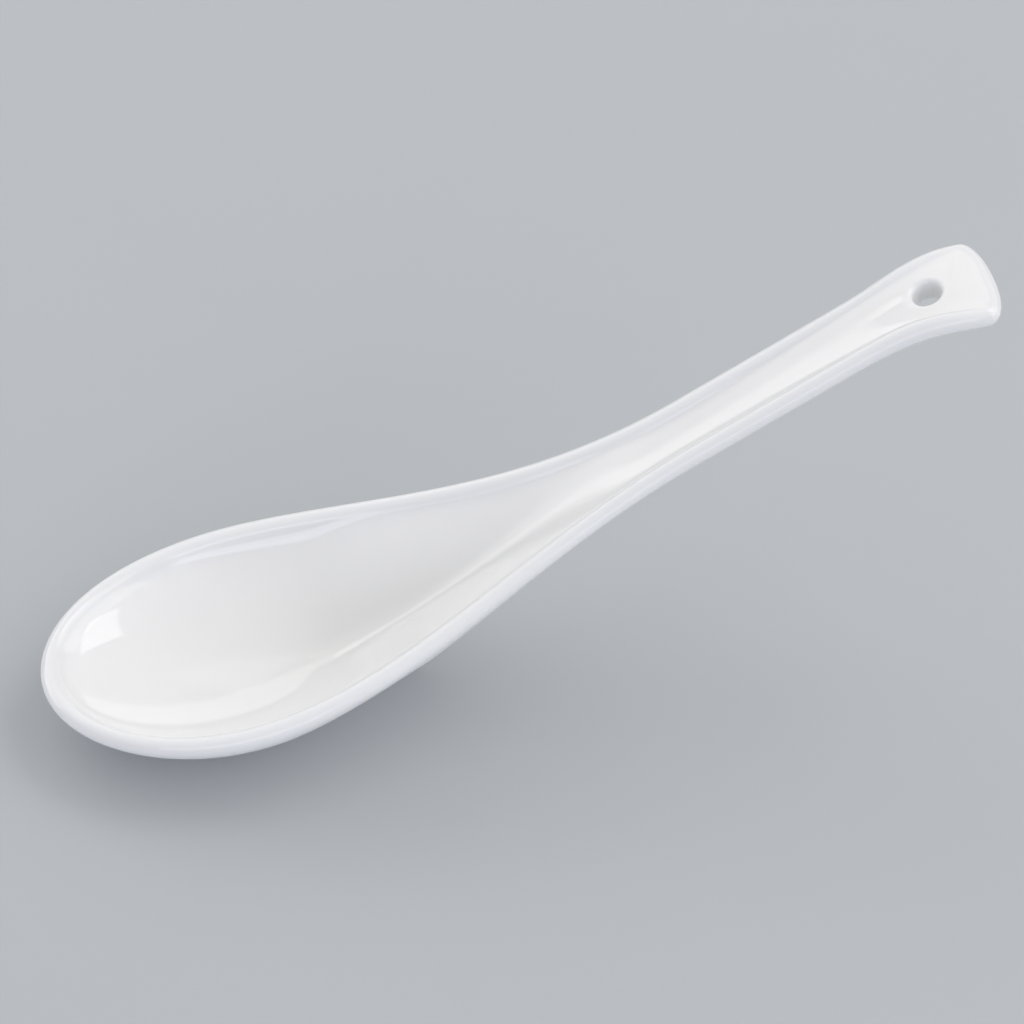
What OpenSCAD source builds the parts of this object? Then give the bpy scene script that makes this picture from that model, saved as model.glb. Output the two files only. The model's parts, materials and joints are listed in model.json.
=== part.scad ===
// Porcelain soup spoon with a flat foot, a boat-shaped bowl and a raised handle.
// Millimetres. +Z is up and +X runs from the bowl towards the handle's end.
// The origin is the middle of the flat foot, on the table that the spoon stands on.
// The spoon is one fired porcelain body under a coat of glaze. The glaze covers the
// body everywhere but on the foot, which is ground flat and left bare, and it lines
// the hanging hole. All sizes are over the glaze.

/* [Bowl] */
// Width of the bowl at its widest station
bowl_w = 39.6; // [36:0.2:44]
// Distance from the widest station forward to the front edge
bowl_front_l = 27; // [25:0.5:30]
// Distance from the foot's middle forward to the widest station
bowl_ahead = 6; // [4:0.5:8]
// Height of the rim above the table at the widest station
rim_h = 12.8; // [12:0.2:16]
// Tilt of the rim line along the bowl, in degrees
rim_tilt = 5.2; // [3:0.2:7]
// Width of the rounded lip
lip_w = 2.6; // [2.2:0.1:3.2]
// Height of the steep side wall under the lip, before it turns under the bowl
side_h = 2.9; // [2.4:0.1:5]
// Thickness of the bowl's floor above the foot
floor_t = 5.4; // [4:0.1:5.6]

/* [Neck] */
// Distance from the widest station to where the bowl has narrowed to the handle
neck_l = 62.4; // [58:0.2:68]
// Length over which the underside climbs from the foot to the handle
keel_climb_l = 32; // [28:0.5:38]
// Distance before the foot's end at which the bowl's floor starts to climb inside
scoop_lead = 12; // [8:0.5:16]
// Extra thickness of the neck's floor halfway up the climb inside
neck_fill = 1.4; // [0.8:0.1:2]

/* [Handle] */
// Slope of the handle, in degrees
handle_angle = 28.8; // [25:0.2:33]
// Width of the handle at its narrowest
handle_w = 11.4; // [10:0.2:14]
// Thickness of the handle from its underside to its edges
handle_t = 4.5; // [4.2:0.1:6]
// Distance from the widest station to the handle's end
handle_reach = 104.4; // [98:0.2:112]
// Depth of the channel that leads from the bowl along the handle
channel_depth = 1.5; // [1:0.1:2]

/* [Handle end] */
// Width of the flared end
end_w = 15; // [14:0.2:18]
// Length over which the handle flares out to its end
flare_l = 16.4; // [14:0.2:22]
// Length of the rounded end past the flare
end_round_l = 2.8; // [2:0.2:5]
// Angle by which the end bends down from the handle's slope, in degrees
end_bend = 28.6; // [15:0.2:32]
// Length over which the end bends down
end_bend_l = 14.4; // [12:0.2:18]
// Length of the straight tip past that bend
tip_l = 2.2; // [1:0.1:4]

/* [Foot] */
// Length of the flat foot
foot_l = 34; // [30:0.5:38]
// Depth by which the flat foot is cut into the round underside
foot_cut = 1.2; // [0.8:0.1:1.8]
// Height of the band of bare clay around the foot, up to where the glaze starts
bare_h = 0.6; // [0.4:0.1:1]

/* [Hanging hole] */
// Diameter of the hole through the handle's end
hole_d = 4; // [3:0.1:5]
// Distance from the handle's end to the hole's middle
hole_inset = 9; // [8:0.2:11]

/* [Glaze] */
// Thickness of the glaze
glaze_t = 0.3; // [0.2:0.05:0.4]

/* [Hidden] */

// Steps around the front, along the bowl, along the neck and handle and around the end
front_steps = 10;
bowl_steps = 8;
back_steps = 23;
end_steps = 7;
// Steps up the outer wall, over the lip and down the inner wall
wall_steps = 10;
lip_steps = 5;
inner_steps = 8;

// Distances that the rim's bend into the handle's slope runs past the front and the neck
rise_front_trim = 4.8;
rise_back_run = 3.7;
// How far cuts run past what they cut
overrun = 2;
// How far the lip's round turns, from the outer wall over the top, in degrees
lip_turn = 150;
// Depth of the channel where it runs out at the handle's end
end_dish = 0.1;
// Exponent of the outline around the handle's end: 2 is an ellipse, more is squarer
end_square = 2.2;
// Distance that the middle line's last point stays behind the handle's end
end_back = 6;
// Shares by which the underside, and the floor inside, climb sooner than an even S-curve
climb_skew_share = 0.66;
scoop_skew_share = 0.8;
// Share by which the neck narrows sooner than a plain cosine
neck_skew_share = 0.92;

// Roundness of the outer wall, as shares of its width, in the bowl and from the foot's end on
wall_round_shares = [0.5, 0.05];
// The least share of the outer wall's height at which it starts to turn under
wall_turn_share = 0.12;
// Shape of the inner wall, as shares of its width and height: in the bowl, at the foot's
// end and in the handle
inner_round_shares = [0.45, 0.25, 0.5];
inner_rise_shares = [0.35, 0.75, 0.3];
inner_bulge_share = 0.93;

// Places along the spoon are distances u behind the bowl's widest station
foot_back_u = bowl_ahead + foot_l / 2;
rise_start_u = rise_front_trim - bowl_front_l;
rise_end_u = neck_l + rise_back_run;
end_corner_u = handle_reach - end_round_l;
end_spine_u = handle_reach - end_back;
tip_u = handle_reach - tip_l;
hole_u = handle_reach - hole_inset;
lip_r = lip_w / 2;

// Slopes of the rim line: along the bowl, along the handle and at the handle's end
bowl_slope = tan(rim_tilt);
handle_slope = tan(handle_angle);
end_slope = tan(handle_angle - end_bend);

stations = front_steps + bowl_steps + back_steps + end_steps;
points = wall_steps + lip_steps + inner_steps;

// 0 below zero, 1 above one and an even S-curve between
function smooth(t) = let (c = min(max(t, 0), 1)) c * c * (3 - 2 * c);

// Height gained at u by a slope that eases in from none at a to one in one at b
function bend(u, a, b) =
    let (c = min(max((u - a) / (b - a), 0), 1))
    (b - a) * (pow(c, 3) - pow(c, 4) / 2) + max(u - b, 0);

// Cubic curve through a and d, steered by b and c
function curve(a, b, c, d, t) =
    a * pow(1 - t, 3) + 3 * b * t * pow(1 - t, 2) + 3 * c * t * t * (1 - t) + d * pow(t, 3);

function mix(pair, t) = pair[0] + (pair[1] - pair[0]) * t;

// Value at u of three, in the bowl, at the foot's end and in the handle
function mix_along(three, u) =
    mix([
        mix([three[0], three[1]], smooth(u / foot_back_u)),
        three[2]
    ], smooth((u - foot_back_u) / (neck_l - foot_back_u)));

// Half of the spoon's width at u, behind the widest station
function half_width(u) =
    let (narrowing = pow(min(u / neck_l, 1), neck_skew_share))
    handle_w / 2
    + (bowl_w - handle_w) / 2 * (1 + cos(180 * narrowing)) / 2
    + (end_w - handle_w) / 2 * smooth((u - end_corner_u + flare_l) / flare_l);

// Height of the rim at u, and its slope there
function rim(u) =
    rim_h
    + bowl_slope * u
    + (handle_slope - bowl_slope) * (bend(u, rise_start_u, rise_end_u) - bend(0, rise_start_u, rise_end_u))
    - (handle_slope - end_slope) * bend(u, tip_u - end_bend_l, tip_u);

function rim_slope(u) =
    bowl_slope
    + (handle_slope - bowl_slope) * smooth((u - rise_start_u) / (rise_end_u - rise_start_u))
    - (handle_slope - end_slope) * smooth((u - tip_u + end_bend_l) / end_bend_l);

// How far the underside, and the floor inside, have changed from bowl to handle at u
function climbed(u) = smooth(pow(max(u - foot_back_u, 0) / keel_climb_l, climb_skew_share));
function scooped(u) =
    smooth(pow(max(u - foot_back_u + scoop_lead, 0) / (keel_climb_l + scoop_lead), scoop_skew_share));

// Height at u of the bare handle's underside, which the climb from the foot ends in
function handle_under(u) = rim(u) - handle_t + glaze_t;

// Height of the bare body's round underside along the middle. It dips under the table
// where the foot is cut flat, and crosses it at the foot's ends.
function keel(u) = mix([
    foot_cut * (pow((u - bowl_ahead) / (foot_l / 2), 2) - 1),
    handle_under(u)
], climbed(u));

// Depth of the handle's channel, and height of the bowl's floor and the channel, over the glaze
function channel(u) = mix([channel_depth, end_dish], smooth((u - neck_l) / (end_corner_u - neck_l)));
function inner_floor(u) =
    handle_under(u) * scooped(u)
    + mix([floor_t, handle_t - glaze_t - channel(u)], smooth(u / neck_l))
    + neck_fill * 4 * scooped(u) * (1 - scooped(u));

// A station seen from above: [x of the edge, y of the edge, x of the middle line]
function front_station(a) =
    [-bowl_front_l * cos(a), bowl_w / 2 * sin(a), 0];

function side_station(u) =
    [u, half_width(u), u - (end_back - end_round_l) * smooth((u - end_corner_u + flare_l) / flare_l)];

function end_station(a) = [
    end_corner_u + end_round_l * pow(cos(a), 2 / end_square),
    end_w / 2 * pow(sin(a), 2 / end_square),
    end_spine_u
];

function side_run(from, to, steps) =
    [for (i = [0:steps - 1]) side_station(from + (to - from) * i / steps)];

// All stations from the front edge to the handle's end
station_list = concat(
    [for (i = [0:front_steps - 1]) front_station(90 * i / front_steps)],
    side_run(0, foot_back_u, bowl_steps),
    side_run(foot_back_u, end_corner_u, back_steps),
    [for (i = [0:end_steps]) end_station(90 - 90 * i / end_steps)]
);

// One half section at a station, as [distance from the middle line, height]: from the
// keel out and up the wall, over the lip and down the inside. The surface lies inset
// below the glaze's own surface.
function half_section(s, inset) =
    let (
        u = s[2],
        reach = norm([s[0] - u, s[1]]),
        low = keel(u) - glaze_t + inset,
        lip_z = rim(s[0]) - lip_r,
        wall_end = reach - inset,
        wall_round = mix(wall_round_shares, smooth(u / foot_back_u)),
        wall_turn = max(1 - side_h / (lip_z - low), wall_turn_share),
        round_r = lip_r - inset,
        lip_end = [reach - lip_r + round_r * cos(lip_turn), lip_z + round_r * sin(lip_turn)],
        floor_z = inner_floor(u) - inset,
        inner_round = mix_along(inner_round_shares, u),
        inner_rise = mix_along(inner_rise_shares, u)
    )
    concat(
        [for (k = [0:wall_steps]) let (t = k / wall_steps) [
            wall_end * curve(0, wall_round, 1, 1, t),
            low + (lip_z - low) * curve(0, 0, wall_turn, 1, t)
        ]],
        [for (k = [1:lip_steps]) let (a = lip_turn * k / lip_steps) [
            reach - lip_r + round_r * cos(a),
            lip_z + round_r * sin(a)
        ]],
        [for (k = [1:inner_steps]) let (t = 1 - k / inner_steps) [
            lip_end[0] * curve(0, inner_round, inner_bulge_share, 1, t),
            floor_z + (lip_end[1] - floor_z) * curve(0, 0, inner_rise, 1, t)
        ]]
    );

// The section's points in space, on the left or the mirrored right side
function section(s, inset, side) =
    let (reach = norm([s[0] - s[2], s[1]]))
    [for (q = half_section(s, inset)) [
        s[2] + (s[0] - s[2]) * q[0] / reach - bowl_ahead,
        side * s[1] * q[0] / reach,
        q[1]
    ]];

row = points + 1;
half_count = row * (stations + 1);

// Number of a point of the surface. The halves share the points in the middle plane.
function at(i, j, side) =
    row * i + j + (side < 0 && i > 0 && i < stations && j > 0 && j < points ? half_count : 0);

function quad(a, b, c, d, flip) = flip ? [[a, c, b], [a, d, c]] : [[a, b, c], [a, c, d]];

// The closed solid whose surface lies inset below the glaze's own surface
module spoon_solid(inset) {
    polyhedron(
        [for (side = [1, -1]) for (s = station_list) each section(s, inset, side)],
        [for (side = [1, -1]) for (i = [0:stations - 1]) for (j = [0:points - 1]) each quad(
            at(i, j, side), at(i, j + 1, side), at(i + 1, j + 1, side), at(i + 1, j, side), side > 0
        )]
    );
}

// Everything under the spoon up to a height, to cut it flat there
module below(h) {
    translate([-bowl_front_l - bowl_ahead - overrun, -bowl_w / 2 - overrun, -foot_cut - overrun])
        cube([bowl_front_l + handle_reach + 2 * overrun, bowl_w + 2 * overrun, foot_cut + overrun + h]);
}

// The hanging hole's rod, square to the handle's face, at a given radius
module hole_rod(r) {
    translate([hole_u - bowl_ahead, 0, rim(hole_u) - handle_t / 2])
        rotate([0, -atan(rim_slope(hole_u)), 0])
            cylinder(h = handle_t + 2 * overrun, r = r, center = true, $fn = 48);
}

// The clay under the glaze, bored for the lined hole, before its foot is cut
module clay() {
    difference() {
        spoon_solid(glaze_t);
        hole_rod(hole_d / 2 + glaze_t);
    }
}

// The fired clay: bowl, neck, handle and flat foot in one piece
module porcelain_body() {
    color("ivory")
        difference() {
            clay();
            below(0);
        }
}

// The glaze: a skin over the clay, with a lining in the hole, down to the foot's bare band
module glaze_coat() {
    color("white")
        difference() {
            spoon_solid(0);
            clay();
            below(bare_h);
            hole_rod(hole_d / 2);
        }
}

porcelain_body();
glaze_coat();
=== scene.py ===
"""A porcelain soup spoon: a smooth fired body with a bare ground foot, under a glossy coat of glaze."""

import json
import math

import bmesh
import bpy
from bpy.props import FloatProperty, FloatVectorProperty, IntProperty, PointerProperty
from bpy.types import Operator, Panel, PropertyGroup
from mathutils import Matrix, Vector, noise


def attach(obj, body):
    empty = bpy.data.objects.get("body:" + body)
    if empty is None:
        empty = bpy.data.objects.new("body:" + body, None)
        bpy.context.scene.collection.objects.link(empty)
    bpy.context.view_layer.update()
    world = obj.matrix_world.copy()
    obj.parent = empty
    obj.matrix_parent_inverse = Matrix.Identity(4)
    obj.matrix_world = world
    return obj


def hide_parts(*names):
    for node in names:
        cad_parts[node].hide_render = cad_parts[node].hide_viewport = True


bl_info = {
    "name": "Porcelain Soup Spoon",
    "version": (1, 0, 0),
    "blender": (4, 5, 0),
    "location": "View3D > Sidebar > Soup Spoon",
    "description": "Builds a glazed porcelain soup spoon with a bare foot and a hanging hole",
    "category": "Add Mesh",
}

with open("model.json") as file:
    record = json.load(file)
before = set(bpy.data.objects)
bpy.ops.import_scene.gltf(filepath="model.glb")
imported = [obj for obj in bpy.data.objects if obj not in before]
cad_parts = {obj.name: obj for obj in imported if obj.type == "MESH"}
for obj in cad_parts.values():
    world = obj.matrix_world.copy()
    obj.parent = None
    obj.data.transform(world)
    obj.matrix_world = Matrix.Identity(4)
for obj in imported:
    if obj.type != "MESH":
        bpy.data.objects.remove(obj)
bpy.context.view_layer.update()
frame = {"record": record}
hanging_hole = next(mount for mount in frame["record"]["mounts"] if mount["name"] == "hanging_hole")

# Distances that the rim's bend into the handle's slope runs past the front and the neck
RISE_FRONT_TRIM = 0.0048
RISE_BACK_RUN = 0.0037
# Depth of the channel where it runs out at the handle's end
END_DISH = 0.0001
# Exponent of the outline around the handle's end: 2 is an ellipse, more is squarer
END_SQUARE = 2.2
# Spare width of the clay's hole, so that its edges stay under the rounded glaze
HOLE_SPARE = 0.0001
# Distance that the middle line's last point stays behind the handle's end
END_BACK = 0.006
# Shares by which the underside and the floor inside climb, and the neck narrows, sooner than an even curve
CLIMB_SKEW = 0.66
SCOOP_SKEW = 0.8
NECK_SKEW = 0.92
# Roundness of the outer wall, in the bowl and from the foot's end on, and how late it turns up at the least
WALL_ROUND = (0.5, 0.05)
WALL_TURN = 0.12
# Shape of the inner wall: in the bowl, at the foot's end and in the handle
INNER_ROUND = (0.45, 0.25, 0.5)
INNER_RISE = (0.35, 0.75, 0.3)
INNER_BULGE = 0.93
# Parts that the surface is divided into: round the bowl's front, to the foot's end, to the handle's end and round it
STATION_STEPS = (18, 8, 32, 12)
# Parts of a section: up the outer wall, over the lip and down the inside
SECTION_STEPS = (13, 6, 12)
# Halvings that find how far the lip turns, and the step to each side that tells which way the inner wall runs
LIP_HALVINGS = 24
DIRECTION_STEP = 0.01
# How thin the glaze runs beside the lip, which also paints shade over the lip's top, and how much of that is lost again
# on the way down inside
LIP_THIN_AND_SHADE = 0.5
LIP_THIN_AND_SHADE_LOSS = 0.7
# Shares of the gathered glaze, and of the shade painted with it, that the handle and the bowl's front have
HANDLE_POOL_AND_SHADE = 0.25
FRONT_POOL_AND_SHADE = 0.3
# Corners of the hole, and its cutter's length in thicknesses of the handle
HOLE_CORNERS = 96
CUTTER_LENGTH = 3
# The glaze's round at the hole's edges: its parts, how thin it runs at the start and halfway, and how much gathers
HOLE_STEPS = 6
HOLE_THIN = (0.3, 0.9)
HOLE_POOL = 0.5
# The glaze's lower edge: the parts of its round, how much gathers, and its waves a metre, broad and fine
EDGE_STEPS = 5
EDGE_POOL = 0.8
EDGE_WAVES = (260, 700)
FINE_WAVE_SHARE = 0.5
# The foot's softened edge: its least fall, how far it runs on before it turns and lands, and a ring inside it
LEAST_FALL = 0.02
EDGE_TURN = 0.6
EDGE_LANDING = 1.3
FOOT_RING = 0.9
# Distances below which two places are one: in the surface, at a level cut, round an open edge and in general
SURFACE_WELD = 1e-7
CUT_WELD = 1e-8
RING_WELD = 2e-5
TINY = 1e-6
# Shades of a tone: of the glaze's clouds, the clay's clouds, its grinding marks, the floor's clouds and glaze specks
GLAZE_CLOUD = 0.965
CLAY_CLOUD = 0.86
CLAY_MARK = 0.62
FLOOR_CLOUD = 0.985
GLAZE_SPECK = 1.6
# Stretches of their noise over which the clouds and the grinding marks come in
CLOUD_RANGE = (0.35, 0.68)
MARK_RANGE = (0.48, 0.66)
# Most of the glaze's tone that gathering or thinning, and the shade painted with them, takes away
GLAZE_AND_SHADE_SHARE = 0.9
# Least and most of the glaze's roughness over its patches
GLOSS_RANGE = (0.8, 1.35)
# Roughness and relief of the clay and the floor
CLAY_ROUGHNESS = (0.74, 0.95)
CLAY_RELIEF = (0.9, 0.00004)
FLOOR_ROUGHNESS = 0.62
FLOOR_RELIEF = (0.35, 0.00003)
# Where the toasted line starts, in heights of the bare band, its strength and that of the grinding marks' tone
TOAST_START = 0.7
TOAST_SHARE = 0.8
MARK_SHARE = 0.45
# The floor: its opening as a share of the foot, its rings as shares of its reach, where it fades in shares of its
# width, and the gap that keeps it from sharing a plane with the foot
OPENING_SHARE = 0.96
FLOOR_RINGS = (0.03, 0.1, 0.4, 1.0)
FLOOR_FADE = (0.08, 0.45)
FLOOR_GAP = 0.00002
# How high in the sky the light rises to full strength, and how far below the floor the foot's light starts
SKY_RISE = (0.05, 0.5)
FOOT_LIGHT_RISE = (-0.5, -0.3)
# The soft lights' distance from the place that they point at, and their tints
LIGHT_DISTANCE = 0.9
LIGHT_AIM = (0.03, 0.0, 0.02)
WHITE_LIGHT = (1.0, 0.99, 0.98)
COOL_LIGHT = (0.92, 0.95, 1.0)
COLD_LIGHT = (0.83, 0.87, 1.0)
# Each light's name, turn from straight behind the spoon to the handle, rise, width and height, power and tint
SOFTBOXES = (
    ("back strip", -15, 27, (1.5, 0.27), "strip_power", WHITE_LIGHT),
    ("key strip", -38, 30, (0.8, 0.22), "key_power", WHITE_LIGHT),
    ("upper panel", -30, 47, (1.0, 0.3), "upper_power", WHITE_LIGHT),
    ("low softbox", -58, 14, (0.5, 0.2), "low_power", COOL_LIGHT),
    ("side panel", 108, 34, (1.2, 0.7), "side_power", WHITE_LIGHT),
    ("high softbox", 74, 58, (0.5, 0.28), "high_power", WHITE_LIGHT),
    ("front fill", -165, 14, (0.9, 0.36), "fill_power", COLD_LIGHT),
)
# The camera: the place that it turns round, and how far right and up of it the middle of the picture lies
VIEW_MIDDLE = (0.029, 0.0, 0.018)
VIEW_SHIFT = (0.00315, 0.0061)
SENSOR_WIDTH = 36.0
VIEW_CLIP = (0.01, 20.0)


def number(name, description, default, least=0.0, **values):
    return FloatProperty(name=name, description=description, default=default, min=least, **values)


def length(name, description, default):
    return number(name, description, default, precision=5, subtype="DISTANCE", unit="LENGTH")


def angle(name, description, degrees, least=0.0):
    return number(name, description, math.radians(degrees), math.radians(least), subtype="ANGLE", unit="ROTATION")


def share(name, description, default):
    return number(name, description, default, max=1.0, subtype="FACTOR")


def light_power(name, description, default):
    return number(name, description, default, unit="POWER")


def colour(name, description, default):
    return FloatVectorProperty(
        name=name, description=description, default=(*default, 1.0), size=4, min=0.0, max=1.0, subtype="COLOR"
    )


class SoupSpoonSizes(PropertyGroup):
    bowl_width: length("Bowl Width", "Width of the bowl at its widest station", 0.0396)
    bowl_front: length("Bowl Front", "Distance from the widest station forward to the front edge", 0.027)
    bowl_ahead: length("Bowl Ahead", "Distance from the foot's middle forward to the widest station", 0.006)
    rim_height: length("Rim Height", "Height of the rim above the table at the widest station", 0.0128)
    rim_tilt: angle("Rim Tilt", "Tilt of the rim line along the bowl", 5.2)
    lip_width: length("Lip Width", "Width of the rounded lip", 0.0026)
    side_height: length("Side Height", "Height of the steep side wall under the lip", 0.0029)
    floor_thickness: length("Floor Thickness", "Thickness of the bowl's floor above the foot", 0.0054)
    neck_length: length("Neck Length", "Distance from the widest station to where the neck ends", 0.0624)
    climb_length: length("Climb Length", "Length over which the underside climbs to the handle", 0.032)
    scoop_lead: length("Scoop Lead", "Distance before the foot's end where the floor inside starts to climb", 0.012)
    neck_fill: length("Neck Fill", "Extra thickness of the neck's floor halfway up the climb inside", 0.0014)
    handle_angle: angle("Handle Angle", "Slope of the handle", 28.8)
    handle_width: length("Handle Width", "Width of the handle at its narrowest", 0.0114)
    handle_thickness: length("Handle Thickness", "Thickness from the underside to the edges", 0.0045)
    handle_reach: length("Handle Reach", "Distance from the widest station to the handle's end", 0.1044)
    channel_depth: length("Channel Depth", "Depth of the channel along the handle", 0.0015)
    end_width: length("End Width", "Width of the flared end", 0.015)
    flare_length: length("Flare Length", "Length over which the handle flares out to its end", 0.0164)
    end_round: length("End Round", "Length of the rounded end past the flare", 0.0028)
    end_bend: angle("End Bend", "Angle by which the end bends down from the handle's slope", 28.6)
    end_bend_length: length("End Bend Length", "Length over which the end bends down", 0.0144)
    tip_length: length("Tip Length", "Length of the straight tip past that bend", 0.0022)
    foot_length: length("Foot Length", "Length of the flat foot", 0.034)
    foot_cut: length("Foot Cut", "Depth by which the foot is cut into the round underside", 0.0012)
    foot_edge: length("Foot Edge", "Height of the softened edge around the ground foot", 0.00012)
    bare_height: length("Bare Height", "Height of the bare band around the foot", 0.0006)
    hole_diameter: length("Hole Diameter", "Diameter of the hanging hole", hanging_hole["dims"]["r_mm"] * 0.002)
    hole_inset: length("Hole Inset", "Distance from the handle's end to the hole's middle", 0.009)
    hole_round: length("Hole Round", "Radius of the glazed round at the hole's edges", 0.0007)
    glaze_thickness: length("Glaze Thickness", "Thickness of the glaze", 0.0003)
    glaze_wander: length("Glaze Wander", "How far the glaze's lower edge wanders up and down", 0.00007)


class SoupSpoonFinish(PropertyGroup):
    glaze_tone: colour("Glaze Tone", "Colour of the glazed porcelain", (0.80, 0.798, 0.802))
    # Also painted shade: low in the bowl's hollow this darker tone stands in for shade
    pooled_glaze_and_shade_tone: colour("Pooled Glaze And Shade Tone", "Colour where the glaze has gathered", (0.715, 0.717, 0.711))
    # Also painted shade: this darker, cooler tone dims the lip's top, which faces the lights
    thin_glaze_and_shade_tone: colour("Thin Glaze And Shade Tone", "Colour where the glaze is thin over the rim", (0.745, 0.75, 0.765))
    glaze_roughness: share("Glaze Roughness", "Roughness of the glaze", 0.07)
    glaze_ripple: length("Glaze Ripple", "Height of the soft waves in the glaze", 0.000014)
    clay_tone: colour("Clay Tone", "Colour of the bare fired clay", (0.78, 0.755, 0.71))
    toast_tone: colour("Toast Tone", "Colour of the line that firing leaves beside the glaze", (0.60, 0.49, 0.37))
    speck_tone: colour("Speck Tone", "Colour of the fine specks in the clay", (0.28, 0.22, 0.17))


class SoupSpoonStage(PropertyGroup):
    floor_tone: colour("Floor Tone", "Colour of the floor", (0.42, 0.44, 0.46))
    floor_width: length("Floor Width", "Width of the floor, which fades away towards its edge", 3.0)
    strip_power: light_power("Strip Power", "Wide light behind the spoon", 1.12)
    key_power: light_power("Key Power", "Brighter light behind the neck", 0.62)
    upper_power: light_power("Upper Power", "Dim light above that", 0.5)
    low_power: light_power("Low Power", "Low light behind the bowl", 0.8)
    side_power: light_power("Side Power", "Large light beside the handle", 3.0)
    high_power: light_power("High Power", "Light above the handle", 1.1)
    fill_power: light_power("Fill Power", "Cool light from the front", 2.2)
    sky_strength: number("Sky Strength", "Light from overhead", 0.72)
    low_sky: share("Low Sky", "Share of that light that comes from near the horizon", 0.35)
    foot_light: number("Foot Light", "Light from below, which reaches only the foot", 0.5)
    floor_glow: number("Floor Glow", "Light that the floor adds under the spoon", 0.17)
    backdrop_tone: colour("Backdrop Tone", "Colour behind everything, past the floor", (0.41, 0.42, 0.44))
    view_turn: angle("View Turn", "Angle of the camera round the spoon", -13.815, least=-180.0)
    view_rise: angle("View Rise", "Angle of the camera above the floor", 45.362)
    view_distance: length("View Distance", "Distance from the spoon to the camera", 0.75)
    lens: number("Lens", "Focal length in millimetres", 194.7, 1.0)
    fineness: IntProperty(name="Fineness", description="How finely the surfaces are divided", default=2, min=1, max=4)


def clamp(value):
    return min(max(value, 0.0), 1.0)


def smooth(value):
    """0 below zero, 1 above one and an even S-curve between."""
    value = clamp(value)
    return value * value * (3 - 2 * value)


def mix(first, second, part):
    return first + (second - first) * part


def bend(u, start, end):
    """Height gained at u by a slope that eases in from none at start to one in one at end."""
    part = clamp((u - start) / (end - start))
    return (end - start) * (part**3 - part**4 / 2) + max(u - end, 0.0)


def curve(a, b, c, d, t):
    """Cubic curve through a and d, steered by b and c."""
    return a * (1 - t) ** 3 + 3 * b * t * (1 - t) ** 2 + 3 * c * t * t * (1 - t) + d * t**3


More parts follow.
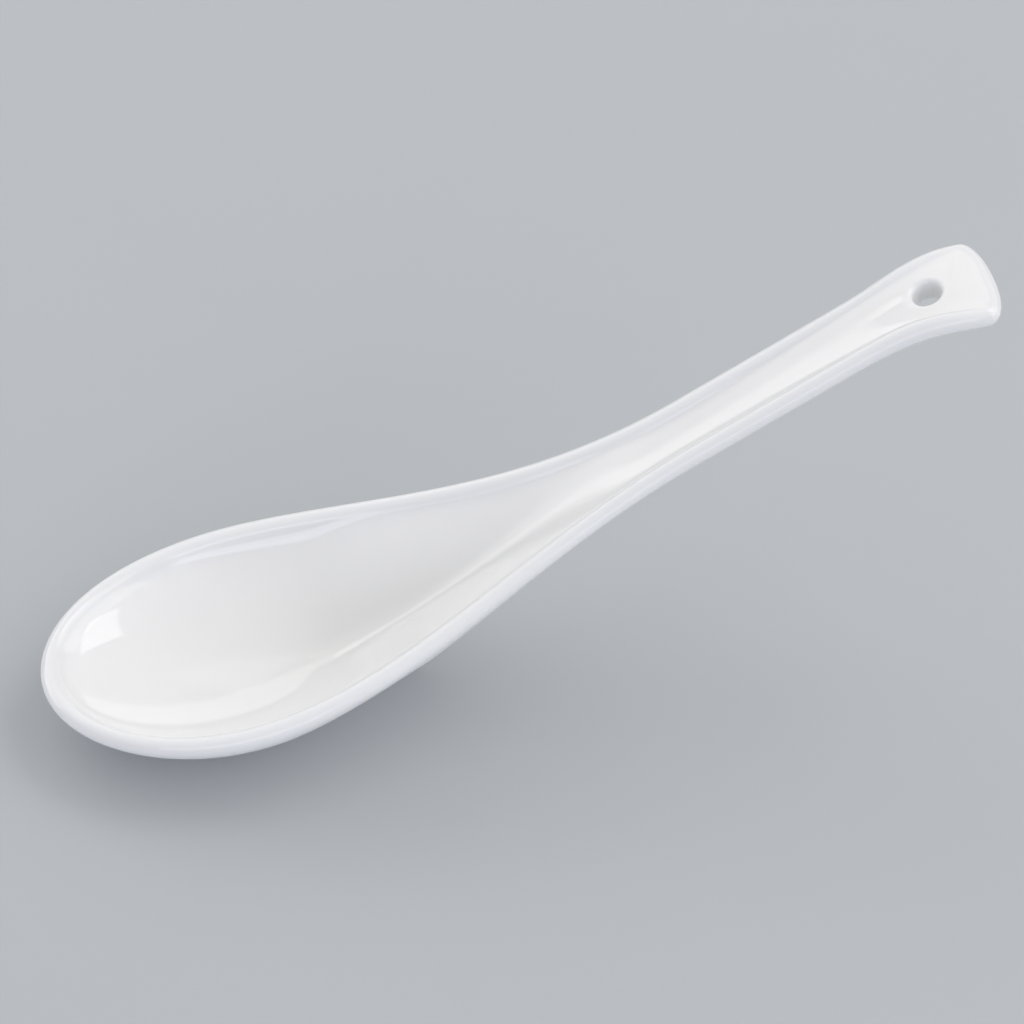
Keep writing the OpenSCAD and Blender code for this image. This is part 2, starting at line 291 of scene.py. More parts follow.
class SpoonForm:
    """The spoon's surface, worked out from its sizes. Places u run behind the bowl's widest station."""

    def __init__(self, sizes):
        self.sizes = sizes
        self.foot_back = sizes.bowl_ahead + sizes.foot_length / 2
        self.rise_start = RISE_FRONT_TRIM - sizes.bowl_front
        self.rise_end = sizes.neck_length + RISE_BACK_RUN
        self.end_corner = sizes.handle_reach - sizes.end_round
        self.end_spine = sizes.handle_reach - END_BACK
        self.tip = sizes.handle_reach - sizes.tip_length
        self.hole_place = sizes.handle_reach - sizes.hole_inset
        self.lip_radius = sizes.lip_width / 2
        self.bowl_slope = math.tan(sizes.rim_tilt)
        self.handle_slope = math.tan(sizes.handle_angle)
        self.end_slope = math.tan(sizes.handle_angle - sizes.end_bend)

    def along(self, three, u):
        """Value at u of three: in the bowl, at the foot's end and in the handle."""
        near = mix(three[0], three[1], smooth(u / self.foot_back))
        return mix(near, three[2], smooth((u - self.foot_back) / (self.sizes.neck_length - self.foot_back)))

    def flared(self, u):
        return smooth((u - self.end_corner + self.sizes.flare_length) / self.sizes.flare_length)

    def half_width(self, u):
        sizes = self.sizes
        narrowing = min(u / sizes.neck_length, 1.0) ** NECK_SKEW
        return (
            sizes.handle_width / 2
            + (sizes.bowl_width - sizes.handle_width) / 2 * (1 + math.cos(math.pi * narrowing)) / 2
            + (sizes.end_width - sizes.handle_width) / 2 * self.flared(u)
        )

    def rim(self, u):
        """Height of the rim."""
        risen = bend(u, self.rise_start, self.rise_end) - bend(0.0, self.rise_start, self.rise_end)
        bent = bend(u, self.tip - self.sizes.end_bend_length, self.tip)
        return (
            self.sizes.rim_height
            + self.bowl_slope * u
            + (self.handle_slope - self.bowl_slope) * risen
            - (self.handle_slope - self.end_slope) * bent
        )

    def rim_slope(self, u):
        risen = smooth((u - self.rise_start) / (self.rise_end - self.rise_start))
        bent = smooth((u - self.tip + self.sizes.end_bend_length) / self.sizes.end_bend_length)
        return (
            self.bowl_slope
            + (self.handle_slope - self.bowl_slope) * risen
            - (self.handle_slope - self.end_slope) * bent
        )

    def climbed(self, u):
        """How far the underside has changed from bowl to handle."""
        return smooth((max(u - self.foot_back, 0.0) / self.sizes.climb_length) ** CLIMB_SKEW)

    def scooped(self, u):
        """How far the floor inside has changed from bowl to handle."""
        lead = self.sizes.scoop_lead
        return smooth((max(u - self.foot_back + lead, 0.0) / (self.sizes.climb_length + lead)) ** SCOOP_SKEW)

    def handle_under(self, u):
        return self.rim(u) - self.sizes.handle_thickness + self.sizes.glaze_thickness

    def keel(self, u):
        """Height of the clay's round underside along the middle, before its foot is cut."""
        sizes = self.sizes
        dip = sizes.foot_cut * (((u - sizes.bowl_ahead) / (sizes.foot_length / 2)) ** 2 - 1)
        return mix(dip, self.handle_under(u), self.climbed(u))

    def inner_floor(self, u):
        """Height of the bowl's floor and the handle's channel, over the glaze."""
        sizes = self.sizes
        run_out = smooth((u - sizes.neck_length) / (self.end_corner - sizes.neck_length))
        channel = mix(sizes.channel_depth, END_DISH, run_out)
        handle_floor = sizes.handle_thickness - sizes.glaze_thickness - channel
        part = self.scooped(u)
        return (
            self.handle_under(u) * part
            + mix(sizes.floor_thickness, handle_floor, smooth(u / sizes.neck_length))
            + sizes.neck_fill * 4 * part * (1 - part)
        )

    def stations(self, fine):
        """Stations seen from above: x and y of the edge, and x of the middle line."""
        sizes = self.sizes
        quarter = math.pi / 2
        front, bowl, back, end = (steps * fine for steps in STATION_STEPS)
        made = []
        for i in range(front):
            turn = quarter * i / front
            made.append((-sizes.bowl_front * math.cos(turn), sizes.bowl_width / 2 * math.sin(turn), 0.0))
        places = [self.foot_back * i / bowl for i in range(bowl)]
        places += [mix(self.foot_back, self.end_corner, i / back) for i in range(back)]
        for u in places:
            made.append((u, self.half_width(u), u - (END_BACK - sizes.end_round) * self.flared(u)))
        for i in range(end + 1):
            turn = quarter * (1 - i / end)
            x = self.end_corner + sizes.end_round * max(math.cos(turn), 0.0) ** (2 / END_SQUARE)
            y = sizes.end_width / 2 * max(math.sin(turn), 0.0) ** (2 / END_SQUARE)
            made.append((x, y, self.end_spine))
        return made

    def half_section(self, station, inset, fine):
        """Points from the keel out and up the wall, over the lip and down the inside.

        Each is its distance from the middle line, its height, how thin the glaze runs over it, which also
        paints shade over the lip's top, and how much glaze gathers there, which also paints shade low in
        the bowl. The surface lies inset below the glaze's own surface. The lip turns just so far that it
        runs into the inner wall without a crease.
        """
        edge_x, edge_y, u = station
        sizes = self.sizes
        reach = math.hypot(edge_x - u, edge_y)
        low = self.keel(u) - sizes.glaze_thickness + inset
        lip_height = self.rim(edge_x) - self.lip_radius
        wall_end = reach - inset
        wall_round = mix(*WALL_ROUND, smooth(u / self.foot_back))
        wall_turn = max(1 - sizes.side_height / (lip_height - low), WALL_TURN)
        radius = self.lip_radius - inset
        floor = self.inner_floor(u)
        inner_round, inner_rise = self.along(INNER_ROUND, u), self.along(INNER_RISE, u)
        least, most = math.pi / 2, math.pi
        for _ in range(LIP_HALVINGS):
            lip_turn = (least + most) / 2
            lip_out = reach - self.lip_radius * (1 - math.cos(lip_turn))
            lip_end = lip_height + self.lip_radius * math.sin(lip_turn)
            steep = math.atan2((1 - inner_rise) * (lip_end - floor), (1 - INNER_BULGE) * lip_out)
            if steep > lip_turn - math.pi / 2:
                least = lip_turn
            else:
                most = lip_turn
        in_bowl = 1 - smooth(u / sizes.neck_length * 2 - 0.6)
        wall, lip, inner = (steps * fine for steps in SECTION_STEPS)
        made = []
        for k in range(wall + 1):
            t = k / wall
            out = wall_end * curve(0, wall_round, 1, 1, t)
            height = low + (lip_height - low) * curve(0, 0, wall_turn, 1, t)
            made.append((out, height, smooth(t * 3 - 2) * LIP_THIN_AND_SHADE, 0.0))
        # Over the lip the thin glaze's tone also paints shade on the lip's top
        for k in range(1, lip + 1):
            turn = lip_turn * k / lip
            thin = mix(LIP_THIN_AND_SHADE, 1.0, math.sin(min(turn, math.pi / 2)))
            thin -= smooth((turn - math.pi / 2) / 2) * LIP_THIN_AND_SHADE_LOSS
            out = reach - self.lip_radius + radius * math.cos(turn)
            made.append((out, lip_height + radius * math.sin(turn), thin, 0.0))
        for k in range(1, inner + 1):
            t = 1 - k / inner
            before, (out, height), after = (
                (lip_out * curve(0, inner_round, INNER_BULGE, 1, s), mix(floor, lip_end, curve(0, 0, inner_rise, 1, s)))
                for s in (t + DIRECTION_STEP, t, t - DIRECTION_STEP)
            )
            run, fall = after[0] - before[0], after[1] - before[1]
            height += inset * run / math.hypot(run, fall)
            if k < inner:
                out -= inset * fall / math.hypot(run, fall)
            # The glaze gathers low down inside, and shade is painted there with it: more away from the bowl's front and
            # less in the handle
            place = (u + (edge_x - u) * out / reach) / sizes.bowl_front
            gathered = mix(HANDLE_POOL_AND_SHADE, 1.0, in_bowl) * mix(FRONT_POOL_AND_SHADE, 1.0, smooth((place + 0.75) / 1.3))
            made.append((out, height, smooth(t * 4 - 3) * LIP_THIN_AND_SHADE, smooth(1.15 - t * 1.3) * gathered))
        return made

    def foot_outline(self):
        """Places round the foot where the clay's underside would meet the floor, seen from above."""
        places = []
        for edge_x, edge_y, u in self.stations(1):
            section = self.half_section((edge_x, edge_y, u), self.sizes.glaze_thickness, 1)
            for (near, low, *_), (far, high, *_) in zip(section, section[1:]):
                if low < 0 <= high:
                    part = mix(near, far, low / (low - high)) / math.hypot(edge_x - u, edge_y)
                    places.append((u + (edge_x - u) * part - self.sizes.bowl_ahead, edge_y * part))
                    break
        return places + [(x, -y) for x, y in reversed(places) if y > TINY]

    def surface(self, inset, fine):
        """The closed surface that lies inset below the glaze's own, as a bmesh."""
        mesh = bmesh.new()
        thin_and_shade_layer = mesh.verts.layers.float.new("glaze_thin")
        pool_and_shade_layer = mesh.verts.layers.float.new("glaze_pool")
        stations = self.stations(fine)
        sections = [self.half_section(station, inset, fine) for station in stations]
        for side in (1, -1):
            rows = []
            for (edge_x, edge_y, u), section in zip(stations, sections):
                reach = math.hypot(edge_x - u, edge_y)
                row = []
                for out, height, thin, pool in section:
                    part = out / reach
                    vertex = mesh.verts.new(
                        (u + (edge_x - u) * part - self.sizes.bowl_ahead, side * edge_y * part, height)
                    )
                    vertex[thin_and_shade_layer], vertex[pool_and_shade_layer] = thin, pool
                    row.append(vertex)
                rows.append(row)
            for row, following in zip(rows, rows[1:]):
                for j in range(len(row) - 1):
                    corners = (row[j], following[j], following[j + 1], row[j + 1])
                    mesh.faces.new(corners if side > 0 else corners[::-1])
        bmesh.ops.remove_doubles(mesh, verts=mesh.verts, dist=SURFACE_WELD)
        bmesh.ops.recalc_face_normals(mesh, faces=mesh.faces)
        return mesh

    def hole_axis(self):
        """The middle of the hanging hole and the direction that it runs in, upward."""
        slope = math.atan(self.rim_slope(self.hole_place))
        middle = Vector((
            self.hole_place - self.sizes.bowl_ahead,
            0.0,
            self.rim(self.hole_place) - self.sizes.handle_thickness / 2,
        ))
        return middle, Vector((-math.sin(slope), 0.0, math.cos(slope)))


def as_object(mesh, name):
    """Turns a bmesh into an object in the scene, and frees it."""
    data = bpy.data.meshes.new(name)
    mesh.to_mesh(data)
    mesh.free()
    thing = bpy.data.objects.new(name, data)
    bpy.context.scene.collection.objects.link(thing)
    return thing


def bored(mesh, form, radius):
    """A copy of a closed bmesh with a straight hole of this radius through the handle's end."""
    middle, axis = form.hole_axis()
    rod_mesh = bmesh.new()
    bmesh.ops.create_cone(
        rod_mesh, cap_ends=True, segments=HOLE_CORNERS, radius1=radius, radius2=radius,
        depth=form.sizes.handle_thickness * CUTTER_LENGTH,
        matrix=Matrix.Translation(middle) @ axis.to_track_quat("Z", "Y").to_matrix().to_4x4(),
    )
    solid, rod = as_object(mesh, "solid"), as_object(rod_mesh, "rod")
    cut = solid.modifiers.new("hole", "BOOLEAN")
    cut.operation, cut.solver, cut.object = "DIFFERENCE", "EXACT", rod
    seen = solid.evaluated_get(bpy.context.evaluated_depsgraph_get())
    result = bmesh.new()
    result.from_mesh(seen.data)
    for thing in (solid, rod):
        bpy.data.meshes.remove(thing.data)
    return result


def cut_level(mesh, height, wander):
    """Takes away all that lies under a height, which wanders over the plan by wander(x, y)."""
    for vertex in mesh.verts:
        vertex.co.z -= wander(vertex.co.x, vertex.co.y)
    everything = mesh.verts[:] + mesh.edges[:] + mesh.faces[:]
    bmesh.ops.bisect_plane(
        mesh, geom=everything, dist=CUT_WELD, plane_co=(0, 0, height), plane_no=(0, 0, 1), clear_inner=True
    )
    for vertex in mesh.verts:
        vertex.co.z += wander(vertex.co.x, vertex.co.y)


def open_rings(mesh):
    """The open edges of a mesh, as rings of vertices in order."""
    edge_ends = [vertex for vertex in mesh.verts if vertex.is_boundary]
    bmesh.ops.remove_doubles(mesh, verts=edge_ends, dist=RING_WELD)
    mesh.normal_update()
    beside = {}
    for edge in mesh.edges:
        if edge.is_boundary:
            first, second = edge.verts
            beside.setdefault(first, []).append(second)
            beside.setdefault(second, []).append(first)
    rings = []
    while beside:
        start = next(iter(beside))
        ring, previous, here = [start], None, start
        while True:
            following = next(vertex for vertex in beside[here] if vertex is not previous)
            if following is start:
                break
            ring.append(following)
            previous, here = here, following
        for vertex in ring:
            del beside[vertex]
        rings.append(ring)
    return rings


def add_ring(mesh, ring, places):
    """Joins a ring of vertices to a new ring at these places, and returns the new one."""
    made = [mesh.verts.new(place) for place in places]
    for i, vertex in enumerate(ring):
        j = (i + 1) % len(ring)
        mesh.faces.new((vertex, ring[j], made[j], made[i]))
    return made


def outward(ring):
    """For each vertex of an open ring, its place, its normal and the way on past the edge."""
    told = []
    for i, vertex in enumerate(ring):
        line = ring[(i + 1) % len(ring)].co - ring[i - 1].co
        normal = vertex.normal.normalized()
        onward = normal.cross(line).normalized()
        inside = sum((face.calc_center_median() for face in vertex.link_faces), Vector()) / len(vertex.link_faces)
        if (inside - vertex.co).dot(onward) > 0:
            onward.negate()
        told.append((vertex.co.copy(), normal, onward))
    return told


def mark(mesh, ring, layer, value):
    values = mesh.verts.layers.float[layer]
    for vertex in ring:
        vertex[values] = value


def line_hole(mesh, form, rings):
    """Rounds the glaze over the hole's two edges and lines the hole between them."""
    middle, axis = form.hole_axis()
    radius, soft = form.sizes.hole_diameter / 2, form.sizes.hole_round
    inner_rings = []
    for ring in rings:
        away = (ring[0].co - middle).dot(axis)
        side = 1 if away > 0 else -1
        spots = []
        for vertex in ring:
            level = (vertex.co - middle).dot(axis)
            spoke = (vertex.co - middle - axis * level).normalized()
            vertex.co = middle + axis * level + spoke * (radius + soft)
            spots.append((level, spoke))
        mark(mesh, ring, "glaze_thin", HOLE_THIN[0])
        for step in range(1, HOLE_STEPS + 1):
            turn = math.pi / 2 * step / HOLE_STEPS
            drop, shrink = soft * (1 - math.cos(turn)), soft * math.sin(turn)
            places = [
                middle + axis * (level - side * drop) + spoke * (radius + soft - shrink) for level, spoke in spots
            ]
            ring = add_ring(mesh, ring, places)
            mark(mesh, ring, "glaze_thin", HOLE_THIN[1] * math.sin(2 * turn) if step < HOLE_STEPS else 0.0)
            mark(mesh, ring, "glaze_pool", HOLE_POOL * step / HOLE_STEPS)
        inner_rings.append(ring)
    edges = [mesh.edges.get((ring[i - 1], ring[i])) for ring in inner_rings for i in range(len(ring))]
    bmesh.ops.bridge_loops(mesh, edges=edges)


def wandering(sizes):
    """How far the glaze's lower edge lies above its height at x and y."""
    broad, fine = EDGE_WAVES

    def wander(x, y):
        spot = Vector((x, y, 0.0))
        return sizes.glaze_wander * (noise.noise(spot * broad) + FINE_WAVE_SHARE * noise.noise(spot * fine))

    return wander


def finish_piece(mesh, name, material, node):
    """Turns a bmesh into a smooth, named piece with its material, in place of a CAD node."""
    bmesh.ops.dissolve_degenerate(mesh, dist=TINY, edges=mesh.edges)
    bmesh.ops.recalc_face_normals(mesh, faces=mesh.faces)
    piece = as_object(mesh, name)
    piece.data.shade_smooth()
    piece.data.materials.append(material)
    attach(piece, "root")
    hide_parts(node)


def feed(tree, socket, value):
    """Links an output to a socket, or sets the socket to a plain value."""
    if isinstance(value, bpy.types.NodeSocket):
        tree.links.new(value, socket)
    else:
        socket.default_value = value


def place_node(tree, kind, place, **values):
    """Adds a shader node with its values.

    Each is the node's own setting of that name, or else feeds its socket of that name, with _ for a space.
    """
    node = tree.nodes.new("ShaderNode" + kind)
    node.location = place
    for key, value in values.items():
        if hasattr(node, key):
            setattr(node, key, value)
        else:
            feed(tree, node.inputs[key.replace("_", " ")], value)
    return node


def place_math(tree, operation, place, first, second, **values):
    """Adds a calculation with two values and returns its output."""
    node = place_node(tree, "Math", place, operation=operation, **values)
    feed(tree, node.inputs[0], first)
    feed(tree, node.inputs[1], second)
    return node.outputs[0]


def place_mix(tree, place, part, first, second):
    """Adds a mix of two colours and returns its output."""
    node = place_node(tree, "Mix", place, data_type="RGBA")
    for i, value in ((0, part), (6, first), (7, second)):
        feed(tree, node.inputs[i], value)
    return node.outputs[2]


def place_ramp(tree, place, value, start, end, low=0.0, high=1.0, shape="SMOOTHSTEP"):
    """Adds a ramp from low to high while the value goes from start to end, and returns its output."""
    node = place_node(tree, "MapRange", place, interpolation_type=shape)
    for name, given in (("Value", value), ("From Min", start), ("From Max", end), ("To Min", low), ("To Max", high)):
        feed(tree, node.inputs[name], given)
    return node.outputs["Result"]


def place_bump(tree, shader, place, height, strength, distance):
    """Gives the shader a relief with this height."""
    bump = place_node(tree, "Bump", place, Height=height, Strength=strength, Distance=distance)
    tree.links.new(bump.outputs["Normal"], shader.inputs["Normal"])


def finish_with_mix(tree, place, part, first, second, surface):
    """Adds a mix of two shaders as what the surface shows."""
    either = place_node(tree, "MixShader", place)
    for socket, value in zip(either.inputs, (part, first.outputs[0], second.outputs[0])):
        feed(tree, socket, value)
    tree.links.new(either.outputs[0], surface.inputs["Surface"])


def shade(tone, factor):
    """A tone made this many times as bright."""
    return [part * factor for part in tone[:3]] + [1.0]


def make_group(name, inputs, outputs):
    """An empty node group with these sockets, what it is given and what it has to tell."""
    tree = bpy.data.node_groups.new(name, "ShaderNodeTree")
    for in_out, sockets in (("INPUT", inputs), ("OUTPUT", outputs)):
        for label, kind, *default in sockets:
            socket = tree.interface.new_socket(label, in_out=in_out, socket_type="NodeSocket" + kind)
            if default:
                socket.default_value = default[0]
    given, told = tree.nodes.new("NodeGroupInput"), tree.nodes.new("NodeGroupOutput")
    given.location, told.location = (-900, 0), (900, 0)
    return tree, given.outputs, told.inputs


def fired_mottle():
    """Soft clouds and scarce dark specks, as fired clay and glaze show."""
    if "Fired Mottle" in bpy.data.node_groups:
        return bpy.data.node_groups["Fired Mottle"]
    tree, given, told = make_group(
        "Fired Mottle",
        [
            ("Position", "Vector"), ("Tone", "Color"), ("Cloud Tone", "Color"), ("Cloud Scale", "Float", 60.0),
            ("Cloud Amount", "Float", 0.6), ("Speck Tone", "Color"), ("Speck Scale", "Float", 400.0),
            ("Speck Share", "Float", 0.0), ("Speck Size", "Float", 0.1),
        ],
        [("Tone", "Color"), ("Specks", "Float")],
    )
    clouds = place_node(
        tree, "TexNoise", (-600, 260), Vector=given["Position"], Scale=given["Cloud Scale"], Detail=4.0, Roughness=0.6
    )
    spread = place_ramp(tree, (-400, 260), clouds.outputs["Fac"], *CLOUD_RANGE)
    amount = place_math(tree, "MULTIPLY", (-200, 260), spread, given["Cloud Amount"])
    clouded = place_mix(tree, (0, 200), amount, given["Tone"], given["Cloud Tone"])
    cells = place_node(tree, "TexVoronoi", (-600, -140), Vector=given["Position"], Scale=given["Speck Scale"])
    luck = place_node(tree, "SeparateColor", (-400, -260), Color=cells.outputs["Color"])
    chosen = place_math(tree, "LESS_THAN", (-200, -260), luck.outputs[0], given["Speck Share"])
    size = place_math(tree, "MULTIPLY", (-200, -420), luck.outputs[1], given["Speck Size"])
    dot = place_ramp(tree, (0, -140), cells.outputs["Distance"], 0.0, size, 1.0, 0.0)
    specks = place_math(tree, "MULTIPLY", (200, -200), dot, chosen)
    feed(tree, told["Tone"], place_mix(tree, (460, 100), specks, clouded, given["Speck Tone"]))
    feed(tree, told["Specks"], specks)
    return tree


def fine_relief():
    """A height from broad soft waves and fine grain, and a stretch for marks that run one way."""
    if "Fine Relief" in bpy.data.node_groups:
        return bpy.data.node_groups["Fine Relief"]
    tree, given, told = make_group(
        "Fine Relief",
        [
            ("Position", "Vector"), ("Stretch", "Vector", (1.0, 1.0, 1.0)), ("Wave Scale", "Float", 500.0),
            ("Grain Scale", "Float", 2600.0), ("Grain Share", "Float", 0.6),
        ],
        [("Height", "Float")],
    )
    stretched = place_node(tree, "VectorMath", (-700, 0), operation="MULTIPLY")
    feed(tree, stretched.inputs[0], given["Position"])
    feed(tree, stretched.inputs[1], given["Stretch"])
    both = place_node(tree, "Mix", (0, 0), data_type="FLOAT")
    feed(tree, both.inputs[0], given["Grain Share"])
    for i, y, scale, detail, roughness in ((2, 160, "Wave Scale", 1.0, 0.4), (3, -160, "Grain Scale", 3.0, 0.65)):
        texture = place_node(
            tree, "TexNoise", (-450, y), Vector=stretched.outputs[0], Scale=given[scale], Detail=detail,
            Roughness=roughness,
        )
        feed(tree, both.inputs[i], texture.outputs["Fac"])
    feed(tree, told["Height"], both.outputs[0])
    return tree


def new_material(name, **values):
    """A material, its node tree, its coordinates and its Principled shader with these values."""
    material = bpy.data.materials.new(name)
    material.use_nodes = True
    tree = material.node_tree
    tree.nodes.clear()
    where = place_node(tree, "TexCoord", (-1300, 0)).outputs["Object"]
    shader = place_node(tree, "BsdfPrincipled", (300, 0), **values)
    surface = place_node(tree, "OutputMaterial", (650, 0))
    tree.links.new(shader.outputs[0], surface.inputs["Surface"])
    return material, tree, where, shader


def place_group(tree, where, group, place, **values):
    """Adds one of the shared groups and returns its outputs."""
    return place_node(tree, "Group", place, node_tree=group, Position=where, **values).outputs


def glazed_porcelain(finish):
    """White clay seen through clear, glossy glaze: darker where it gathers, with painted shade low in the bowl, and a
    little cooler and darker where it thins, with painted shade over the lip's top.
    """
    material, tree, where, shader = new_material(
        "glazed porcelain", IOR=1.52, Subsurface_Weight=0.15, Subsurface_Radius=(1.0, 0.85, 0.7),
        Subsurface_Scale=0.0012,
    )
    mottle = place_group(
        tree, where, fired_mottle(), (-1000, 300), Tone=finish.glaze_tone,
        Cloud_Tone=shade(finish.glaze_tone, GLAZE_CLOUD), Cloud_Scale=55.0,
        Speck_Tone=shade(finish.speck_tone, GLAZE_SPECK), Speck_Scale=210.0, Speck_Share=0.012, Speck_Size=0.035,
    )
    tone = mottle["Tone"]
    # The pooled tone also paints shade low in the bowl's hollow; the thin tone also paints shade over the lip's top
    for name, paint, x in (("glaze_pool", finish.pooled_glaze_and_shade_tone, -600), ("glaze_thin", finish.thin_glaze_and_shade_tone, -300)):
        depth = place_node(tree, "Attribute", (x - 200, 500), attribute_name=name)
        part = place_math(tree, "MULTIPLY", (x, 500), depth.outputs["Fac"], GLAZE_AND_SHADE_SHARE, use_clamp=True)
        tone = place_mix(tree, (x, 250), part, tone, paint)
    tree.links.new(tone, shader.inputs["Base Color"])
    relief = place_group(
        tree, where, fine_relief(), (-1000, -200), Wave_Scale=170.0, Grain_Scale=1100.0, Grain_Share=0.06
    )
    patches = place_node(tree, "TexNoise", (-1000, -450), Vector=where, Scale=90.0, Detail=3.0)
    roughness = (finish.glaze_roughness * part for part in GLOSS_RANGE)
    gloss = place_ramp(tree, (-600, -450), patches.outputs["Fac"], 0.0, 1.0, *roughness, "LINEAR")
    tree.links.new(gloss, shader.inputs["Roughness"])
    pits = place_math(tree, "SUBTRACT", (-600, -200), relief["Height"], mottle["Specks"])
    place_bump(tree, shader, (-300, -200), pits, 1.0, finish.glaze_ripple)
    return material


def bare_clay(finish, sizes):
    """Fired clay with no glaze: fine grain, grinding marks on the foot and a toasted line by the glaze."""
    material, tree, where, shader = new_material("bare fired clay")
    mottle = place_group(
        tree, where, fired_mottle(), (-1000, 300), Tone=finish.clay_tone,
        Cloud_Tone=shade(finish.clay_tone, CLAY_CLOUD), Cloud_Scale=180.0, Cloud_Amount=0.7,
        Speck_Tone=finish.speck_tone, Speck_Scale=900.0, Speck_Share=0.10, Speck_Size=0.22,
    )
    height = place_node(tree, "SeparateXYZ", (-1000, 0), Vector=where)
    toasted = place_ramp(
        tree, (-700, 80), height.outputs["Z"], sizes.bare_height * TOAST_START,
        sizes.bare_height + sizes.glaze_thickness, 0.0, TOAST_SHARE,
    )
    tinted = place_mix(tree, (-400, 300), toasted, mottle["Tone"], finish.toast_tone)
    ground = place_ramp(tree, (-700, -160), height.outputs["Z"], 0.0, sizes.foot_edge, 1.0, 0.0)
    marks = place_group(
        tree, where, fine_relief(), (-1000, -300), Stretch=(0.06, 1, 1), Wave_Scale=1500.0, Grain_Scale=6000.0,
        Grain_Share=0.5,
    )
    rubbed = place_ramp(tree, (-700, -400), marks["Height"], *MARK_RANGE)
    lines = place_math(tree, "MULTIPLY", (-480, -300), ground, rubbed)
    faint = place_math(tree, "MULTIPLY", (-300, -120), lines, MARK_SHARE)
    greyed = place_mix(tree, (-120, 200), faint, tinted, shade(finish.clay_tone, CLAY_MARK))
    tree.links.new(greyed, shader.inputs["Base Color"])
    grain = place_group(tree, where, fine_relief(), (-1000, -600), Wave_Scale=900.0, Grain_Scale=5200.0)
    relief = place_math(tree, "SUBTRACT", (-300, -400), grain["Height"], lines)
    place_bump(tree, shader, (-100, -300), relief, *CLAY_RELIEF)
    rough = place_ramp(tree, (-300, -620), grain["Height"], 0.0, 1.0, *CLAY_ROUGHNESS, "LINEAR")
    tree.links.new(rough, shader.inputs["Roughness"])
    return material


def matt_floor(stage):
    """A plain pale floor with a faint tooth, which fades away far off and doesn't show from below.

    It glows a little for the spoon, not for the camera, so that the spoon's underside isn't left dark.
    """
    material, tree, where, shader = new_material(
        "matt floor", Roughness=FLOOR_ROUGHNESS, Emission_Strength=stage.floor_glow
    )
    mottle = place_group(
        tree, where, fired_mottle(), (-1000, 300), Tone=stage.floor_tone,
        Cloud_Tone=shade(stage.floor_tone, FLOOR_CLOUD), Cloud_Scale=9.0,
    )
    tree.links.new(mottle["Tone"], shader.inputs["Base Color"])
    tooth = place_group(tree, where, fine_relief(), (-1000, -200))
    place_bump(tree, shader, (-300, -200), tooth["Height"], *FLOOR_RELIEF)
    path = place_node(tree, "LightPath", (-500, 700))
    glow = place_mix(tree, (-300, 700), path.outputs["Is Camera Ray"], (*COOL_LIGHT, 1.0), (0.0, 0.0, 0.0, 1.0))
    tree.links.new(glow, shader.inputs["Emission Color"])
    away = place_node(tree, "VectorMath", (-300, 400), operation="LENGTH", Vector=where)
    fading = place_ramp(tree, (-100, 400), away.outputs["Value"], *(stage.floor_width * part for part in FLOOR_FADE))
    under = place_node(tree, "NewGeometry", (-100, 600))
    unseen = place_math(tree, "MAXIMUM", (150, 400), fading, under.outputs["Backfacing"])
    clear = place_node(tree, "BsdfTransparent", (300, 160))
    finish_with_mix(tree, (500, 200), unseen, shader, clear, tree.get_output_node("ALL"))
    return material


def studio_world(stage):
    """Light from overhead, dimmer near the horizon, light from below for the foot, and a plain backdrop."""
    world = bpy.data.worlds.new("studio")
    world.use_nodes = True
    tree = world.node_tree
    tree.nodes.clear()
    where = place_node(tree, "TexCoord", (-700, 0))
    height = place_node(tree, "SeparateXYZ", (-500, 0), Vector=where.outputs["Generated"])
    above = place_ramp(
        tree, (-250, 0), height.outputs["Z"], *SKY_RISE, stage.sky_strength * stage.low_sky, stage.sky_strength
    )
    below = place_ramp(tree, (-250, -260), height.outputs["Z"], *FOOT_LIGHT_RISE, stage.foot_light, 0.0)
    strength = place_math(tree, "MAXIMUM", (-80, -100), above, below)
    sky = place_node(tree, "Background", (0, 0), Color=(1.0, 0.995, 1.0, 1.0), Strength=strength)
    backdrop = place_node(tree, "Background", (0, -160), Color=stage.backdrop_tone)
    path = place_node(tree, "LightPath", (0, 320))
    surface = place_node(tree, "OutputWorld", (450, 0))
    finish_with_mix(tree, (250, 0), path.outputs["Is Camera Ray"], sky, backdrop, surface)
    return world


def add_softbox(name, turn, rise, size, power, tint):
    """A soft light that points at the spoon, turned from straight behind it towards the handle, in degrees."""
    light = bpy.data.lights.new(name, "AREA")
    light.shape, light.size, light.size_y = "RECTANGLE", *size
    light.energy, light.color = power, tint
    turn, rise = math.radians(turn), math.radians(rise)
    away = Vector((math.sin(turn) * math.cos(rise), math.cos(turn) * math.cos(rise), math.sin(rise)))
    box = bpy.data.objects.new(name, light)
    box.location = Vector(LIGHT_AIM) + away * LIGHT_DISTANCE
    box.rotation_euler = (-away).to_track_quat("-Z", "Y").to_euler()
    bpy.context.scene.collection.objects.link(box)


def floor_sheet(reach, foot):
    """A flat round floor with an opening hidden by the foot's outline, so that light gets under it."""
    mesh = bmesh.new()
    ring = [mesh.verts.new((x * OPENING_SHARE, y * OPENING_SHARE, 0.0)) for x, y in foot]
    spokes = [Vector((x, y, 0.0)).normalized() for x, y in foot]
    for step in FLOOR_RINGS:
        ring = add_ring(mesh, ring, [spoke * reach * step for spoke in spokes])
    mesh.normal_update()
    for face in mesh.faces:
        if face.normal.z < 0:
            face.normal_flip()
    return mesh


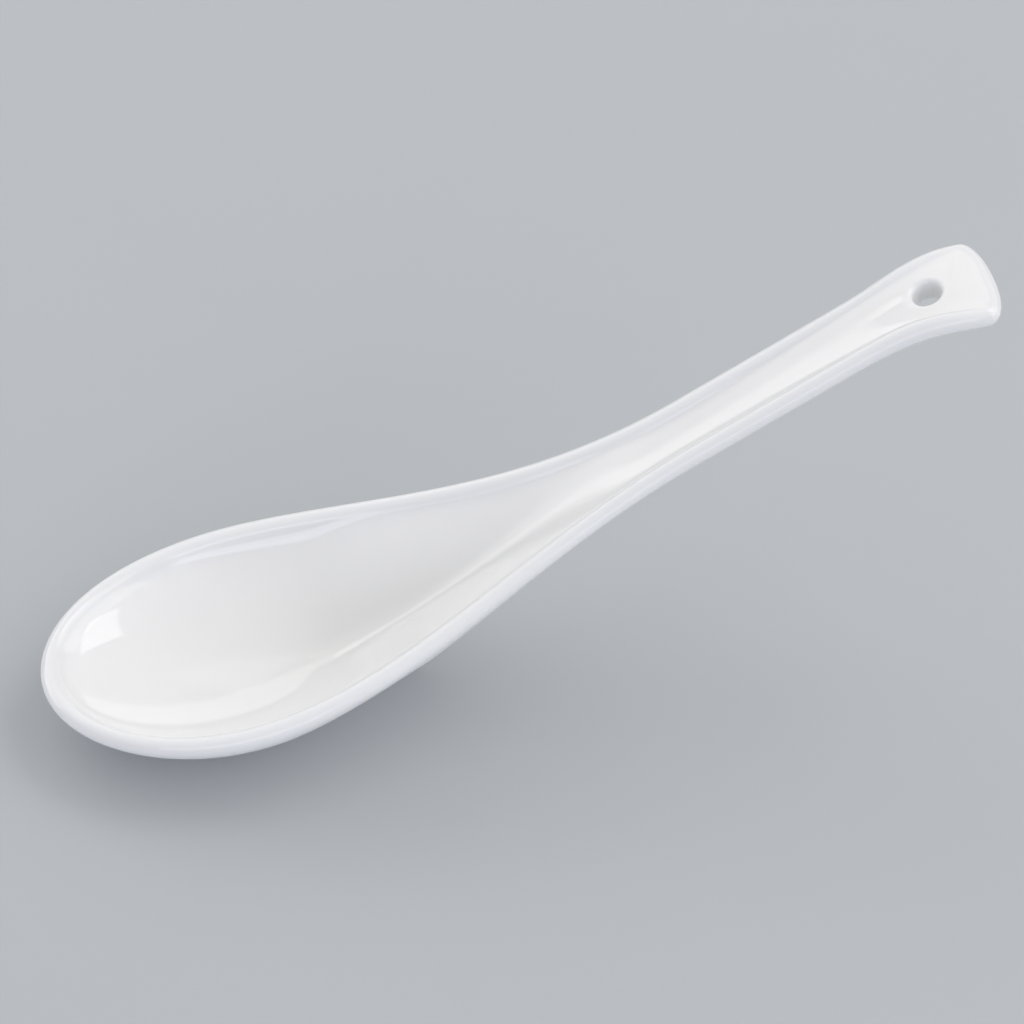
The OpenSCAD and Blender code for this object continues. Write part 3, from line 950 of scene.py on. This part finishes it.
class SOUPSPOON_OT_press_body(Operator):
    """Press and fire the porcelain body, and grind its foot flat"""

    bl_idname = "soup_spoon.press_body"
    bl_label = "Porcelain Body"

    def execute(self, context):
        sizes, finish = context.scene.soup_spoon_sizes, context.scene.soup_spoon_finish
        form = SpoonForm(sizes)
        fine = max(context.scene.soup_spoon_stage.fineness - 1, 1)
        mesh = form.surface(sizes.glaze_thickness, fine)
        mesh = bored(mesh, form, sizes.hole_diameter / 2 + sizes.glaze_thickness + HOLE_SPARE)
        cut_level(mesh, sizes.foot_edge, lambda x, y: 0.0)
        (ring,) = open_rings(mesh)
        edge = outward(ring)
        turned, flat = [], []
        for place, _, onward in edge:
            run = place.z / max(-onward.z, LEAST_FALL)
            turned.append(place + onward * run * EDGE_TURN)
            flat.append(Vector((place.x + onward.x * run * EDGE_LANDING, place.y + onward.y * run * EDGE_LANDING, 0.0)))
        ring = add_ring(mesh, ring, turned)
        ring = add_ring(mesh, ring, flat)
        centre = sum(flat, Vector()) / len(flat)
        ring = add_ring(mesh, ring, [centre + (place - centre) * FOOT_RING for place in flat])
        mesh.faces.new(ring)
        finish_piece(mesh, "porcelain_body_smooth", bare_clay(finish, sizes), "porcelain_body")
        return {"FINISHED"}


class SOUPSPOON_OT_coat_glaze(Operator):
    """Coat the body with glaze down to its foot, and line the hanging hole"""

    bl_idname = "soup_spoon.coat_glaze"
    bl_label = "Glaze Coat"

    def execute(self, context):
        sizes, finish = context.scene.soup_spoon_sizes, context.scene.soup_spoon_finish
        form = SpoonForm(sizes)
        mesh = form.surface(0.0, context.scene.soup_spoon_stage.fineness)
        cutter = sizes.hole_diameter / 2 + sizes.hole_round
        mesh = bored(mesh, form, cutter)
        middle, axis = form.hole_axis()
        reached = {v for v in mesh.verts if (v.co - middle).cross(axis).length < cutter + TINY}
        wall = [face for face in mesh.faces if all(vertex in reached for vertex in face.verts)]
        bmesh.ops.delete(mesh, geom=wall, context="FACES")
        cut_level(mesh, sizes.bare_height, wandering(sizes))
        rings = open_rings(mesh)
        foot_ring = min(rings, key=lambda ring: ring[0].co.z)
        edge = outward(foot_ring)
        line_hole(mesh, form, [ring for ring in rings if ring is not foot_ring])
        mark(mesh, foot_ring, "glaze_pool", EDGE_POOL)
        ring, bead = foot_ring, sizes.glaze_thickness
        for step in range(1, EDGE_STEPS + 1):
            turn = math.pi / 2 * step / EDGE_STEPS
            ring = add_ring(mesh, ring, [
                place + onward * bead * math.sin(turn) - normal * bead * (1 - math.cos(turn))
                for place, normal, onward in edge
            ])
            mark(mesh, ring, "glaze_pool", EDGE_POOL)
        finish_piece(mesh, "glaze_coat_smooth", glazed_porcelain(finish), "glaze_coat")
        return {"FINISHED"}


class SOUPSPOON_OT_set_stage(Operator):
    """Set the floor, the soft lights and the camera"""

    bl_idname = "soup_spoon.set_stage"
    bl_label = "Stage"

    def execute(self, context):
        scene = context.scene
        stage = scene.soup_spoon_stage
        foot = SpoonForm(scene.soup_spoon_sizes).foot_outline()
        floor = as_object(floor_sheet(stage.floor_width / 2, foot), "floor")
        floor.data.materials.append(matt_floor(stage))
        floor.location.z = -FLOOR_GAP

        scene.world = studio_world(stage)
        for name, turn, rise, size, power_name, tint in SOFTBOXES:
            add_softbox(name, turn, rise, size, getattr(stage, power_name), tint)

        turn, rise = stage.view_turn, stage.view_rise
        back = Vector((math.sin(turn) * math.cos(rise), -math.cos(turn) * math.cos(rise), math.sin(rise)))
        right = Vector((math.cos(turn), math.sin(turn), 0.0))
        up = back.cross(right)
        middle = Vector(VIEW_MIDDLE)
        lens = bpy.data.cameras.new("camera")
        lens.lens, lens.sensor_width = stage.lens, SENSOR_WIDTH
        lens.clip_start, lens.clip_end = VIEW_CLIP
        camera = bpy.data.objects.new("camera", lens)
        camera.location = middle + back * stage.view_distance
        framed = middle + right * VIEW_SHIFT[0] + up * VIEW_SHIFT[1]
        camera.rotation_euler = (framed - camera.location).to_track_quat("-Z", "Y").to_euler()
        scene.collection.objects.link(camera)
        scene.camera = camera
        scene.view_settings.view_transform = "Standard"
        return {"FINISHED"}


class SOUPSPOON_PT_panel(Panel):
    """Sizes, finishes and the steps that build the spoon"""

    bl_label = "Soup Spoon"
    bl_space_type = "VIEW_3D"
    bl_region_type = "UI"
    bl_category = "Soup Spoon"

    def draw(self, context):
        layout = self.layout
        for step in STEPS:
            layout.operator(step.bl_idname)
        for group, kind in GROUPS.items():
            column = layout.box().column()
            for name in kind.__annotations__:
                column.prop(getattr(context.scene, group), name)


GROUPS = {
    "soup_spoon_sizes": SoupSpoonSizes, "soup_spoon_finish": SoupSpoonFinish, "soup_spoon_stage": SoupSpoonStage
}
STEPS = (SOUPSPOON_OT_press_body, SOUPSPOON_OT_coat_glaze, SOUPSPOON_OT_set_stage)
CLASSES = (*GROUPS.values(), *STEPS, SOUPSPOON_PT_panel)


def register():
    for kind in CLASSES:
        bpy.utils.register_class(kind)
    for name, kind in GROUPS.items():
        setattr(bpy.types.Scene, name, PointerProperty(type=kind))


def unregister():
    for name in GROUPS:
        delattr(bpy.types.Scene, name)
    for kind in reversed(CLASSES):
        bpy.utils.unregister_class(kind)


def main():
    register()
    bpy.ops.soup_spoon.press_body()
    bpy.ops.soup_spoon.coat_glaze()
    bpy.ops.soup_spoon.set_stage()


if __name__ == "__main__":
    main()
